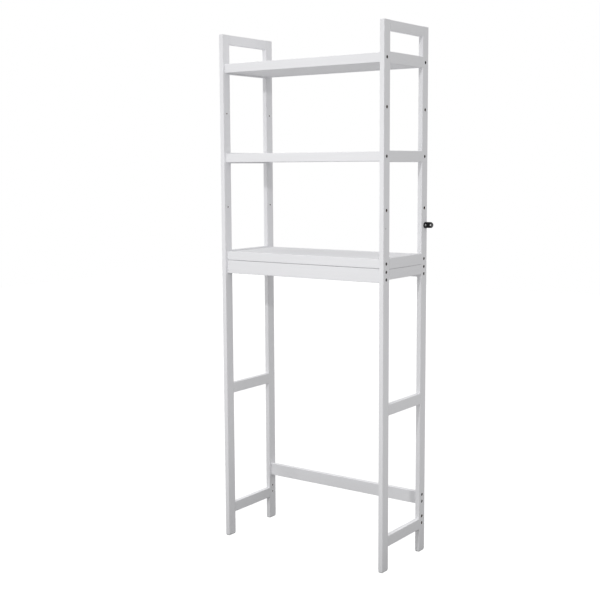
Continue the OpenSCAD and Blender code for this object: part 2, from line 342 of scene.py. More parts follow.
@dataclass
class Wiring:
    """Adds nodes to one node tree and wires them up."""

    tree: bpy.types.NodeTree

    def add(self, kind: str, inputs: dict[Any, Any] | None = None, **settings: Any) -> bpy.types.Node:
        """Adds a node.

        Args:
            kind: The node's type, without the leading ShaderNode.
            inputs: Value or source socket for each input, by name or number.
            settings: The node's own properties.

        Returns:
            The new node.
        """
        node = self.tree.nodes.new("ShaderNode" + kind)
        for key, value in settings.items():
            setattr(node, key, value)
        for key, value in (inputs or {}).items():
            if isinstance(value, Socket):
                self.tree.links.new(value, node.inputs[key])
            else:
                node.inputs[key].default_value = value
        return node

    def group(self, tree: bpy.types.NodeTree, **inputs: Any) -> Any:
        """Places a node group with its inputs by name and returns its outputs."""
        return self.add("Group", inputs, node_tree=tree).outputs

    def math(self, operation: str, first: Any, second: Any = 0.0, third: Any = 0.0) -> Socket:
        """Adds a Math node on up to three values or sockets and returns its result."""
        return self.add("Math", {0: first, 1: second, 2: third}, operation=operation).outputs[0]

    def vector(self, operation: str, inputs: dict[Any, Any], output: Any = 0) -> Socket:
        """Adds a Vector Math node and returns one of its outputs."""
        return self.add("VectorMath", inputs, operation=operation).outputs[output]

    def parts(self, vector: Socket) -> Any:
        """Returns a vector's X, Y and Z."""
        return self.add("SeparateXYZ", {0: vector}).outputs

    def noise(self, vector: Socket, scale: Any, detail: float = 3.0, rough: float = 0.5) -> Socket:
        """Adds a noise texture and returns its factor, from 0 to 1 about 0.5."""
        inputs = {"Vector": vector, "Scale": scale, "Detail": detail, "Roughness": rough}
        return self.add("TexNoise", inputs).outputs["Fac"]

    def stretch(self, vector: Socket, scale: tuple[float, float, float]) -> Socket:
        """Scales a vector along each axis and returns it."""
        return self.add("Mapping", {"Vector": vector, "Scale": scale}).outputs[0]

    def remap(self, value: Any, low: float, high: float, to_low: float = 0.0, to_high: float = 1.0) -> Socket:
        """Maps low..high to to_low..to_high, clamped, and returns the result."""
        inputs = {0: value, 1: low, 2: high, 3: to_low, 4: to_high}
        return self.add("MapRange", inputs, clamp=True).outputs[0]

    def mix(self, factor: Any, first: Any, second: Any) -> Socket:
        """Mixes two colours and returns the result."""
        return self.add("Mix", {0: factor, 6: first, 7: second}, data_type="RGBA").outputs[2]


class SharedGroups:
    """The node groups that several finishes use, each built once."""

    def __init__(self) -> None:
        """Builds every group."""
        make = self._group
        self.tone = make("ToneDrift", "Vector:V Colour:C Amount:F Size:F", "Colour:C", self._tone)
        self.grain = make("GrainUnderPaint", "Vector:V Width:F", "Streaks:F Pores:F", self._grain)
        self.peel = make("SprayPeel", "Vector:V Size:F", "Height:F", self._peel)
        self.ends = make("EndGrain", "Normal:V Vector:V Axis:V", "Mask:F Rings:F", self._ends)
        self.drilled = make("Drilled", "Vector:V Low:V High:V", "Mask:F", self._drilled)
        self.joint = make("JointShadow", "Vector:V Level:F", "Mask:F", self._joint)
        self.handling = make("HandlingMarks", "Vector:V Size:F", "Marks:F", self._handling)
        self.turning = make("TurningLines", "Vector:V Pitch:F", "Lines:F", self._turning)
        self.speckle = make("Speckle", "Vector:V Size:F", "Dots:F Height:F", self._speckle)

    @staticmethod
    def _group(
        name: str, inputs: str, outputs: str, build: Callable[[Wiring, Sockets], Sockets]
    ) -> bpy.types.NodeTree:
        """Makes one group with named sockets and has its inside built.

        Args:
            name: The group's name.
            inputs: Input sockets as name:kind, where kind is V, C or F.
            outputs: Output sockets, likewise.
            build: Takes the wiring and the input sockets, returns the outputs.

        Returns:
            The group.
        """
        kinds = {"V": "NodeSocketVector", "C": "NodeSocketColor", "F": "NodeSocketFloat"}
        tree = bpy.data.node_groups.new(name, "ShaderNodeTree")
        for sockets, way in ((inputs, "INPUT"), (outputs, "OUTPUT")):
            for socket in sockets.split():
                label, kind = socket.split(":")
                tree.interface.new_socket(label, in_out=way, socket_type=kinds[kind])
        entry, leave = tree.nodes.new("NodeGroupInput"), tree.nodes.new("NodeGroupOutput")
        given = {s.name: s for s in entry.outputs if s.name}
        for label, socket in build(Wiring(tree), given).items():
            tree.links.new(socket, leave.inputs[label])
        return tree

    @staticmethod
    def _tone(w: Wiring, given: Sockets) -> Sockets:
        """Wanders a colour's brightness: colour times (1 + amount times (noise - 0.5))."""
        scale = w.math("DIVIDE", 1.0, given["Size"])
        drift = w.math("SUBTRACT", w.noise(given["Vector"], scale, 2.0), 0.5)
        gain = w.math("MULTIPLY_ADD", drift, given["Amount"], 1.0)
        return {"Colour": w.vector("SCALE", {0: given["Colour"], "Scale": gain})}

    @staticmethod
    def _grain(w: Wiring, given: Sockets) -> Sockets:
        """Long streaks and short pores along the vector's own X, some Width apart."""
        scale = w.math("DIVIDE", 1.0, given["Width"])
        bend = w.noise(w.stretch(given["Vector"], (3.0, 9.0, 9.0)), 1.0, 1.0)
        sway = w.math("MULTIPLY_ADD", bend, 0.012, -0.006)
        offset = w.add("CombineXYZ", {1: sway, 2: sway}).outputs[0]
        bent = w.vector("ADD", {0: given["Vector"], 1: offset})
        streaks = w.noise(w.stretch(bent, (0.035, 1.0, 1.0)), scale, 4.0, 0.62)
        pores = w.noise(w.stretch(bent, (0.05, 1.0, 1.0)), w.math("MULTIPLY", scale, 5.0), 1.0)
        return {"Streaks": streaks, "Pores": w.remap(pores, 0.6, 0.74)}

    @staticmethod
    def _peel(w: Wiring, given: Sockets) -> Sockets:
        """Fine pebbling of sprayed paint: two octaves of soft noise, Size across."""
        scale = w.math("DIVIDE", 1.0, given["Size"])
        coarse = w.noise(given["Vector"], scale, 1.0)
        fine = w.noise(given["Vector"], w.math("MULTIPLY", scale, 3.3), 0.0)
        return {"Height": w.math("MULTIPLY_ADD", fine, 0.35, coarse)}

    @staticmethod
    def _ends(w: Wiring, given: Sockets) -> Sockets:
        """Mask of the faces across the grain, and growth rings on them."""
        along = w.vector("DOT_PRODUCT", {0: given["Normal"], 1: given["Axis"]}, "Value")
        mask = w.remap(w.math("ABSOLUTE", along), 0.75, 0.9)
        inputs = {"Vector": given["Vector"], "Scale": 90.0, "Distortion": 2.5, "Detail": 2.0}
        rings = w.add("TexWave", inputs, wave_type="RINGS").outputs["Fac"]
        return {"Mask": mask, "Rings": w.math("MULTIPLY", rings, mask)}

    @staticmethod
    def _drilled(w: Wiring, given: Sockets) -> Sockets:
        """Mask of the points well inside a board's box, which are the walls of its drillings."""
        folded = w.vector("ABSOLUTE", {0: given["Vector"]})
        from_low = w.vector("SUBTRACT", {0: folded, 1: given["Low"]})
        from_high = w.vector("SUBTRACT", {0: given["High"], 1: folded})
        x, y, z = w.parts(w.vector("MINIMUM", {0: from_low, 1: from_high}))
        depth = w.math("MINIMUM", w.math("MINIMUM", x, y), z)
        return {"Mask": w.remap(depth, 0.45 * MM, 0.8 * MM)}

    @staticmethod
    def _joint(w: Wiring, given: Sockets) -> Sockets:
        """Mask of the painted shade in the narrow groove where two frames meet at a level: near it, by height
        alone.
        """
        away = w.math("ABSOLUTE", w.math("SUBTRACT", w.parts(given["Vector"])[2], given["Level"]))
        return {"Mask": w.remap(away, 0.6 * MM, 1.3 * MM, 1.0, 0.0)}

    @staticmethod
    def _handling(w: Wiring, given: Sockets) -> Sockets:
        """Faint hairlines and rubs: two crossing stretched noises, thinned by a patchy one."""
        scale = w.math("DIVIDE", 1.0, given["Size"])
        one = w.remap(w.noise(w.stretch(given["Vector"], (0.2, 6.0, 2.0)), scale, 2.0), 0.6, 0.75)
        two = w.remap(w.noise(w.stretch(given["Vector"], (6.0, 0.3, 2.6)), scale, 2.0), 0.62, 0.75)
        patch = w.remap(w.noise(given["Vector"], w.math("MULTIPLY", scale, 0.3), 2.0), 0.42, 0.62)
        return {"Marks": w.math("MULTIPLY", w.math("MAXIMUM", one, two), patch)}

    @staticmethod
    def _turning(w: Wiring, given: Sockets) -> Sockets:
        """Rings left by turning, about the vector's own X: half of 1 + sin(turns of x / pitch)."""
        turns = w.math("DIVIDE", w.math("MULTIPLY", w.parts(given["Vector"])[0], TAU), given["Pitch"])
        return {"Lines": w.math("MULTIPLY_ADD", w.math("SINE", turns), 0.5, 0.5)}

    @staticmethod
    def _speckle(w: Wiring, given: Sockets) -> Sockets:
        """Spark-eroded moulding texture: cells of some Size, raised at their middles."""
        scale = w.math("DIVIDE", 1.0, given["Size"])
        cells = w.add("TexVoronoi", {"Vector": given["Vector"], "Scale": scale}).outputs["Distance"]
        return {"Dots": w.remap(cells, 0.2, 0.6), "Height": w.math("SUBTRACT", 1.0, cells)}


class Surface(Wiring):
    """A material in the making: its shader, its coordinates and the shared groups."""

    def __init__(self, name: str, groups: SharedGroups) -> None:
        """Starts the material.

        Args:
            name: The material's name.
            groups: The shared node groups.
        """
        self.material = bpy.data.materials.new(name)
        self.material.use_nodes = True
        super().__init__(self.material.node_tree)
        self.tree.nodes.clear()
        self.groups = groups
        self.shader = self.add("BsdfPrincipled")
        self.add("OutputMaterial", {"Surface": self.shader.outputs[0]}).is_active_output = True
        coords = self.add("TexCoord").outputs
        self.place, self.normal = coords["Object"], coords["Normal"]

    def toned(self, place: Socket, colour: Colour, amount: float, size: float) -> Socket:
        """Returns a colour whose brightness wanders by an amount over some size."""
        return self.group(self.groups.tone, Vector=place, Colour=rgba(colour), Amount=amount, Size=size)[0]

    def peel(self, place: Socket, size: float) -> Socket:
        """Returns the height of a sprayed paint's peel."""
        return self.group(self.groups.peel, Vector=place, Size=size)[0]

    def marks(self, size: float) -> Socket:
        """Returns the mask of handling marks."""
        return self.group(self.groups.handling, Vector=self.place, Size=size)[0]

    def wood(self, grain: Axis, width: float, start_at: float = 0.0) -> tuple[Socket, ...]:
        """Lays wood grain along an axis.

        Args:
            grain: The axis that the grain runs along.
            width: Distance between streaks.
            start_at: Shift of the pattern, so that boards differ.

        Returns:
            The turned place, streaks, pores, the mask of the ends and their rings.
        """
        turn = {Axis.X: (0, 0, 0), Axis.Y: (0, 0, -math.pi / 2), Axis.Z: (0, math.pi / 2, 0)}[grain]
        inputs = {"Vector": self.place, "Rotation": turn, "Location": (start_at,) * 3}
        along = self.add("Mapping", inputs).outputs[0]
        streaks, pores = self.group(self.groups.grain, Vector=along, Width=width)
        axis = [float(way is grain) for way in Axis]
        mask, rings = self.group(self.groups.ends, Normal=self.normal, Vector=along, Axis=axis)
        return along, streaks, pores, mask, rings

    def feed(
        self,
        colour: Socket,
        rough: Socket,
        height: Socket,
        relief: float,
        plain: dict[str, float] | None = None,
    ) -> None:
        """Feeds the shader with what changes over the surface, and sets what doesn't.

        Args:
            colour: Base colour.
            rough: Roughness.
            height: Height from 0 to 1 for the bump.
            relief: Real depth of that height in metres.
            plain: The shader's other values, by name.
        """
        bump = self.add("Bump", {"Height": height, "Distance": relief, "Strength": 1.0}).outputs[0]
        for key, socket in (("Base Color", colour), ("Roughness", rough), ("Normal", bump)):
            self.tree.links.new(socket, self.shader.inputs[key])
        for key, value in (plain or {}).items():
            self.shader.inputs[key].default_value = value


# ---- Finishes ----


class Finish:
    """Base of the finishes: makes its material once and hands it out."""

    name: str

    def material(self, groups: SharedGroups) -> bpy.types.Material:
        """Returns the finish's material, made at its first use.

        Args:
            groups: The shared node groups.

        Returns:
            The material.
        """
        if self.name not in bpy.data.materials:
            self.wire(Surface(self.name, groups))
        return bpy.data.materials[self.name]

    def wire(self, s: Surface) -> None:
        """Wires the material."""
        raise NotImplementedError


@dataclass(frozen=True)
class PaintedWood(Finish):
    """Sprayed white paint on planed wood, whose grain shows faintly through it."""

    name: str
    grain: Axis = Axis.X
    start_at: float = 0.0
    colour: Colour = (0.852, 0.852, 0.87)
    drift: float = 0.02
    drift_size: float = 0.12
    streak: float = 0.022
    grain_width: float = 9 * MM
    gloss: float = 0.44
    relief: float = 0.03 * MM
    peel_size: float = 1.6 * MM
    # unpainted wood of the drillings, darkened with painted shade for the inside of the holes
    bare: Colour = (0.17, 0.125, 0.09)
    drilled: tuple[Colour, Colour] | None = None
    # level of a groove that gets painted shade, and the colour of that painted shade
    joint: float | None = None
    shaded: Colour = (0.62, 0.62, 0.635)

    def wire(self, s: Surface) -> None:
        """Wires the paint with the grain under it.

        Streaks and pores run along the grain; across it, on a board's ends,
        growth rings show instead.  The paint has a slight orange peel, and
        where a box is given, the drillings inside it show unpainted wood,
        darkened well past its own colour with painted shade.
        Where a joint's level is given, its groove is darkened with painted shade.

        Args:
            s: The material in the making.
        """
        along, streaks, pores, mask, rings = s.wood(self.grain, self.grain_width, self.start_at)
        base = s.toned(along, self.colour, self.drift, self.drift_size)
        shade = s.math("MULTIPLY", s.remap(streaks, 0.3, 0.7), s.math("SUBTRACT", 1.0, mask))
        shade = s.math("MULTIPLY", s.math("ADD", shade, rings), self.streak)
        shade = s.math("MULTIPLY_ADD", pores, self.streak / 2, shade)
        colour = s.vector("SCALE", {0: base, "Scale": s.math("SUBTRACT", 1.0, shade)})
        rough = s.remap(streaks, 0.3, 0.7, self.gloss - 0.03, self.gloss + 0.04)
        rough = s.math("MULTIPLY_ADD", mask, 0.1, rough)
        # painted shade: the drillings' walls take unpainted wood, much darker than the wood itself, standing
        # in for the shade deep in the holes
        if self.drilled:
            low, high = self.drilled
            inside = s.group(s.groups.drilled, Vector=s.place, Low=low, High=high)[0]
            colour = s.mix(inside, colour, rgba(self.bare))
            rough = s.math("MULTIPLY_ADD", inside, 0.4, rough)
        # painted shade: the groove where the frames meet gets a darker colour, standing in for its shadow
        if self.joint is not None:
            groove = s.group(s.groups.joint, Vector=s.place, Level=self.joint)[0]
            colour = s.mix(groove, colour, rgba(self.shaded))
        height = s.math("MULTIPLY_ADD", streaks, 1.4, s.peel(along, self.peel_size))
        height = s.math("MULTIPLY_ADD", pores, -0.8, height)
        s.feed(colour, rough, height, self.relief, {"Specular IOR Level": 0.4})


@dataclass(frozen=True)
class Coated(Finish):
    """An even coat with a fine peel, whose gloss and colour the handling marks change.

    As it stands it is the smooth white paint of a flat fibreboard panel.
    """

    name: str = "white_panel_paint"
    colour: Colour = (0.854, 0.854, 0.872)
    rubbed: Colour | None = None
    drift: float = 0.018
    drift_size: float = 0.2
    gloss: float = 0.4
    dulling: float = 0.12
    marks_size: float = 40 * MM
    peel_size: float = 2.4 * MM
    peel_gloss: float = 0.05
    relief: float = 0.02 * MM
    specular: float = 0.4
    metal: float = 0.0
    coat: float = 0.0

    def wire(self, s: Surface) -> None:
        """Wires the peel, and the marks, which let a rubbed colour through if one is given.

        Args:
            s: The material in the making.
        """
        marks, peel = s.marks(self.marks_size), s.peel(s.place, self.peel_size)
        colour = s.toned(s.place, self.colour, self.drift, self.drift_size)
        if self.rubbed:
            colour = s.mix(s.math("MULTIPLY", marks, 0.55), colour, rgba(self.rubbed))
        rough = s.remap(marks, 0.0, 1.0, self.gloss, self.gloss + self.dulling)
        rough = s.math("MULTIPLY_ADD", peel, self.peel_gloss, rough)
        plain = {"Specular IOR Level": self.specular, "Metallic": self.metal, "Coat Weight": self.coat}
        s.feed(colour, rough, peel, self.relief, plain | {"Coat Roughness": 0.2})


@dataclass(frozen=True)
class BlackSteel(Coated):
    """Black steel: dark oxide on the bolts, baked paint on the brackets."""

    colour: Colour = (0.012, 0.012, 0.013)
    rubbed: Colour | None = (0.06, 0.06, 0.062)
    drift: float = 0.5
    drift_size: float = 4 * MM
    dulling: float = 0.14
    marks_size: float = 5 * MM
    peel_size: float = 0.5 * MM
    peel_gloss: float = 0.06
    relief: float = 0.008 * MM
    specular: float = 0.5


@dataclass(frozen=True)
class ZincSteel(Finish):
    """Turned steel with a bright zinc plate."""

    name: str
    colour: Colour = (0.66, 0.67, 0.68)
    dull: Colour = (0.5, 0.51, 0.5)
    gloss: float = 0.28
    line_pitch: float = 0.25 * MM
    marks_size: float = 4 * MM
    relief: float = 0.006 * MM

    def wire(self, s: Surface) -> None:
        """Wires turning lines, dull patches and slight rubs.

        Args:
            s: The material in the making.
        """
        lines = s.group(s.groups.turning, Vector=s.place, Pitch=self.line_pitch)[0]
        patches = s.remap(s.noise(s.place, 260.0, 3.0), 0.4, 0.65)
        colour = s.mix(patches, rgba(self.colour), rgba(self.dull))
        rough = s.remap(patches, 0.0, 1.0, self.gloss, self.gloss + 0.15)
        rough = s.math("MULTIPLY_ADD", s.marks(self.marks_size), 0.1, rough)
        s.feed(colour, rough, lines, self.relief, {"Metallic": 1.0})


@dataclass(frozen=True)
class BareBeech(Finish):
    """Bare beech: pale pinkish wood with fine dark flecks along the grain."""

    name: str
    grain: Axis = Axis.Y
    colour: Colour = (0.62, 0.42, 0.26)
    late_wood: Colour = (0.5, 0.31, 0.17)
    fleck: Colour = (0.33, 0.19, 0.1)
    grain_width: float = 1.4 * MM
    relief: float = 0.04 * MM

    def wire(self, s: Surface) -> None:
        """Wires streaks and flecks along the grain, and rings on the ends.

        Args:
            s: The material in the making.
        """
        _, streaks, pores, _, rings = s.wood(self.grain, self.grain_width)
        colour = s.mix(s.remap(streaks, 0.35, 0.65), rgba(self.colour), rgba(self.late_wood))
        colour = s.mix(s.math("MULTIPLY", pores, 0.7), colour, rgba(self.fleck))
        colour = s.mix(s.math("MULTIPLY", rings, 0.5), colour, rgba(self.late_wood))
        rough = s.remap(streaks, 0.3, 0.7, 0.58, 0.72)
        s.feed(colour, rough, s.math("MULTIPLY_ADD", pores, -0.6, streaks), self.relief)


@dataclass(frozen=True)
class MouldedPad(Finish):
    """Pale moulded plastic with a spark-eroded texture."""

    name: str = "moulded_foot_pad"
    colour: Colour = (0.62, 0.62, 0.63)
    dots: Colour = (0.52, 0.52, 0.53)
    cell: float = 0.45 * MM
    relief: float = 0.03 * MM

    def wire(self, s: Surface) -> None:
        """Wires fine speckle in colour and relief.

        Args:
            s: The material in the making.
        """
        dots, height = s.group(s.groups.speckle, Vector=s.place, Size=self.cell)
        colour = s.mix(dots, rgba(self.colour), rgba(self.dots))
        s.feed(colour, s.remap(dots, 0.0, 1.0, 0.55, 0.68), height, self.relief)


# ---- The bench: puts pieces into the scene ----


def modify(piece: bpy.types.Object, name: str, kind: str, **settings: Any) -> None:
    """Adds a modifier to a piece, with its settings."""
    modifier = piece.modifiers.new(name, kind)
    for key, value in settings.items():
        setattr(modifier, key, value)


@dataclass
class Bench:
    """Holds what every sub-assembly needs to build and dress its pieces."""

    nodes: dict[str, bpy.types.Object]
    groups: SharedGroups = field(default_factory=SharedGroups)

    def dress(self, node: str, finish: Finish, ease: float) -> None:
        """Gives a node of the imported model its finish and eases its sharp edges.

        The modifiers join its loose triangles, round the edges that the
        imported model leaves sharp, and even out the shading; the mesh itself
        stays as it is.

        Args:
            node: The node's name.
            finish: Its finish.
            ease: Width of the eased edge.
        """
        piece = self.nodes[node]
        piece.data.materials.clear()
        piece.data.materials.append(finish.material(self.groups))
        modify(piece, "join_triangles", "WELD", merge_threshold=0.002 * MM)
        round_off = {"limit_method": "ANGLE", "angle_limit": math.radians(40), "miter_outer": "MITER_ARC"}
        modify(piece, "eased_edges", "BEVEL", width=ease, segments=2, use_clamp_overlap=True, **round_off)
        modify(piece, "even_shading", "WEIGHTED_NORMAL", mode="FACE_AREA", weight=50, keep_sharp=False)
        LOG.info("dressed %s with %s", node, finish.name)

    def add(self, name: str, mesh: bpy.types.Mesh, finish: Finish, slot: str, node: str) -> bpy.types.Object:
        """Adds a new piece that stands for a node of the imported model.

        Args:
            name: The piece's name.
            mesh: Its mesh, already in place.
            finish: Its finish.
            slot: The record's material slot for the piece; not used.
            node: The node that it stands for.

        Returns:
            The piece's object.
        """
        piece = bpy.data.objects.new(name, mesh)
        bpy.context.scene.collection.objects.link(piece)
        mesh.materials.append(finish.material(self.groups))
        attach(piece, BODY)
        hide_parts(node)
        LOG.info("made %s: %d faces, %s", name, len(mesh.polygons), finish.name)
        return piece


# ---- Woodwork ----


@dataclass
class SideFrame:
    """One ladder-shaped side frame: four posts and the rails between them."""

    side: str
    ease: float = 0.6 * MM

    def build(self, bench: Bench) -> None:
        """Dresses the posts, with upright grain, and the rails, whose grain runs to the wall.

        Args:
            bench: The bench.
        """
        shift = SIDES.index(self.side) * 3.1
        for half, start in (("upper", 0.0), ("lower", 1.7)):
            # the posts' drillings get unpainted wood, darkened with painted shade
            drilled = tuple(tuple(corner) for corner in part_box(f"{half}_post_right_rear"))
            name = f"white_paint_{half}_post_{self.side}"
            paint = PaintedWood(name, Axis.Z, start + shift, drilled=drilled)
            for end in ENDS:
                bench.dress(f"{half}_post_{self.side}_{end}", paint, self.ease)
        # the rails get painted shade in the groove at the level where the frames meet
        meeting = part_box(f"join_rail_{self.side}")[1].z
        name = f"white_paint_rail_{self.side}"
        paint = PaintedWood(name, Axis.Y, 0.6 + shift, grain_width=7 * MM, joint=meeting)
        for rail in UPPER_RAILS + LOWER_RAILS:
            bench.dress(f"{rail}_{self.side}", paint, self.ease)


@dataclass
class Boards:
    """The shelves, each two boards and a panel, and the aprons and the low stretcher."""

    ease: float = 0.5 * MM

    def build(self, bench: Bench) -> None:
        """Dresses the boards, whose grain runs along them, and the smooth panels.

        Args:
            bench: The bench.
        """
        board = PaintedWood("white_paint_board", Axis.X, 0.9)
        for place in SHELVES:
            for end in ENDS:
                bench.dress(f"{place}_shelf_{end}_board", board, self.ease)
            bench.dress(f"{place}_shelf_panel", Coated(), self.ease)
        apron = PaintedWood("white_paint_apron", Axis.X, 2.3, grain_width=11 * MM)
        for name in ("front_apron", "rear_apron", "rear_stretcher"):
            bench.dress(name, apron, self.ease)


# ---- Fasteners ----


@dataclass
class Fasteners:
    """A group of fasteners along X, alike on the left and the right, that a node's box just holds.

    They stand at the box's front and rear ends, at its bottom and top for a
    pair and else at its middle.
    """

    group: str
    pair: bool = False
    ends: tuple[str, ...] = ENDS
    radius: float = 0.0
    suffix: str = ""
    slot: str = ""
    finish: Finish = Finish()

    def skin(self) -> Skin:
        """Returns one fastener about X for the right side, its outer end at zero."""
        raise NotImplementedError

    def build(self, bench: Bench) -> None:
        """Makes the group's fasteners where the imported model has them.

        Args:
            bench: The bench.
        """
        low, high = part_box(self.group)
        inset = self.radius
        levels = [low.z + inset, high.z - inset] if self.pair else [(low.z + high.z) / 2]
        depths = {"front": low.y + inset, "rear": high.y - inset}
        outer = self.skin().moved(x=high.x)
        right = [outer.moved(y=depths[end], z=level) for end in self.ends for level in levels]
        mesh = Skin.joined(right + [s.mirrored(Axis.X) for s in right]).mesh(self.group)
        bench.add(self.group + self.suffix, mesh, self.finish, self.slot, self.group)


@dataclass
class SocketBolts(Fasteners):
    """One group of black socket-head bolts, heads outwards in their counterbores."""

    radius: float = 4.25 * MM
    suffix: str = "_socket_head"
    slot: str = "black_bolt"
    finish: Finish = BlackSteel("black_oxide_bolt", metal=0.15, gloss=0.36)
    shank: float = 2.5 * MM
    length: float = 45 * MM
    head_height: float = 5 * MM
    key: float = 4.0 * MM
    socket_depth: float = 3 * MM
    pitch: float = 0.8 * MM
    thread_depth: float = 0.42 * MM
    plain: float = 4 * MM
    rings_per_pitch: int = 6
    around_shank: int = 24
    around_head: int = 120
    knurls: int = 30
    knurl_depth: float = 0.13 * MM

    def skin(self) -> Skin:
        """One bolt along X, its head's face at zero and its tip at negative x.

        The tip is chamfered, the thread is thread_radius, the head's side is
        knurled as its radius less a raised cosine of the turn, and the socket
        is a hexagon that ends in a shallow cone.

        Returns:
            The bolt's closed skin.
        """
        under = -self.head_height
        tip, chamfer = under - self.length, 0.7 * MM
        root = self.shank - self.thread_depth
        steps = int((self.length - self.plain - chamfer) / self.pitch * self.rings_per_pitch)
        along = np.linspace(tip + chamfer, under - self.plain, steps)
        thread = thread_radius(along, self.around_shank, self.shank, self.thread_depth, self.pitch)
        neck = [
            (under - self.plain + 0.3 * MM, self.shank),
            (under - 0.35 * MM, self.shank),
            (under - 0.1 * MM, self.shank + 0.08 * MM),
            (under, self.shank + 0.35 * MM),
        ]
        shank = [
            rings_about_x([tip], [root - 0.35 * MM], self.around_shank),
            rings_about_x(along, thread),
            rings_about_x(*zip(*neck), self.around_shank),
        ]
        turn = np.arange(self.around_head) * TAU / self.around_head
        knurled = self.radius - self.knurl_depth * (0.5 + 0.5 * np.cos(turn * self.knurls))
        hexagon = hexagon_radius(self.around_head, self.key)
        mouth = max(hexagon)
        deep = -self.socket_depth
        head = [
            (under, self.radius - 0.35 * MM),
            (under + 0.25 * MM, self.radius - 0.08 * MM),
            (under + 0.5 * MM, knurled),
            (-1.0 * MM, knurled),
            (-0.7 * MM, self.radius - 0.06 * MM),
            (-0.28 * MM, self.radius - 0.24 * MM),
            (-0.06 * MM, self.radius - 0.6 * MM),
            (0.0, self.radius - 0.95 * MM),
            (0.0, mouth + 0.16 * MM),
            (-0.1 * MM, mouth + 0.06 * MM),
            (-0.32 * MM, hexagon),
            (deep + 0.1 * MM, hexagon),
            (deep, hexagon * 0.96),
            (deep - 0.45 * MM, hexagon * 0.3),
        ]
        radii = np.stack([np.broadcast_to(radius, turn.shape) for _, radius in head])
        return Skin.over_rings(shank + [rings_about_x([x for x, _ in head], radii)])


@dataclass
class ThreadedInserts(Fasteners):
    """One group of zinc-plated inserts, screwed into the ends of the boards."""

    radius: float = 4 * MM
    suffix: str = "_threaded"
    slot: str = "zinc_steel"
    finish: Finish = ZincSteel("zinc_turned_steel")
    bore: float = 2.55 * MM
    length: float = 14 * MM
    rim: float = 0.5 * MM
    wood_pitch: float = 2.0 * MM
    wood_depth: float = 0.75 * MM
    bore_pitch: float = 0.8 * MM
    bore_depth: float = 0.35 * MM
    around: int = 24

    def skin(self) -> Skin:
        """One insert along X, its outer end at zero.

        The wall runs out along the coarse wood thread and back along the fine
        thread in the bore, both as thread_radius, with eased rims.

        Returns:
            The insert's closed skin.
        """
        start, end = self.rim - self.length, -self.rim
        outside = np.linspace(start, end, int(self.length / self.wood_pitch * 8))
        inside = np.linspace(start, end, int(self.length / self.bore_pitch * 5))
        wood = thread_radius(outside, self.around, self.radius, self.wood_depth, self.wood_pitch)
        bore = thread_radius(inside, self.around, self.bore, -self.bore_depth, self.bore_pitch)
        flats = [self.bore + self.bore_depth + 0.1 * MM, self.radius - self.wood_depth - 0.3 * MM]
        near = rings_about_x([-self.length] * 2, flats, self.around)
        far = rings_about_x([0.0] * 2, flats[::-1], self.around)
        back = rings_about_x(inside, bore)[::-1]
        return Skin.over_rings([near, rings_about_x(outside, wood), far, back], looped=True)


@dataclass
class BracketScrews(Fasteners):
    """Pan-head screws with a cross recess, one through each bracket into its post."""

    radius: float = 3.5 * MM
    suffix: str = "_pan_head"
    slot: str = "zinc_steel"
    finish: Finish = ZincSteel("zinc_screw", gloss=0.2, line_pitch=0.5 * MM)
    shank: float = 1.75 * MM
    length: float = 12 * MM
    head_height: float = 2.4 * MM
    edge: float = 1.5 * MM
    recess_span: float = 3.9 * MM
    recess_width: float = 0.95 * MM
    recess_depth: float = 1.5 * MM
    pitch: float = 1.3 * MM
    thread_depth: float = 0.45 * MM
    cone: float = 3.2 * MM
    around_shank: int = 24
    around_head: int = 96

    def skin(self) -> Skin:
        """One screw along X, the top of its head at zero and its point at negative x.

        The point is a cone, the thread is thread_radius, the head is a pan
        whose edge is a quarter ellipse, and the recess is a cross that
        shrinks with depth.

        Returns:
            The screw's closed skin.
        """
        under = -self.head_height
        tip = under - self.length
        along = np.linspace(tip + 0.3 * MM, under - 0.8 * MM, int(self.length / self.pitch * 8))
        thread = thread_radius(along, self.around_shank, self.shank, self.thread_depth, self.pitch)
        taper = np.clip((along - tip) / self.cone, 0.12, 1)[:, None]
        rise = np.linspace(0, np.pi / 2, 7)[:-1]
        side = under + 0.5 * MM + (self.head_height - 0.5 * MM) * np.sin(rise)
        pan = self.radius - self.edge + self.edge * np.cos(rise)
        cross = cross_radius(self.around_head, self.recess_span, self.recess_width)
        rim = self.radius - 0.15 * MM
        recess = [(0.0, 1.06), (-0.06 * MM, 1.0), (-0.9 * MM, 0.86), (-self.recess_depth, 0.5)]
        return Skin.over_rings([
            rings_about_x([tip], [0.08 * MM], self.around_shank),
            rings_about_x(along, thread * taper),
            rings_about_x([under - 0.2 * MM, under], [self.shank - 0.3 * MM, self.shank], self.around_shank),
            rings_about_x([under, under + 0.15 * MM], [rim, self.radius], self.around_head),
            rings_about_x(side, pan, self.around_head),
            rings_about_x([0.0], [self.radius - self.edge], self.around_head),
            rings_about_x([x for x, _ in recess], np.stack([cross * share for _, share in recess])),
        ])


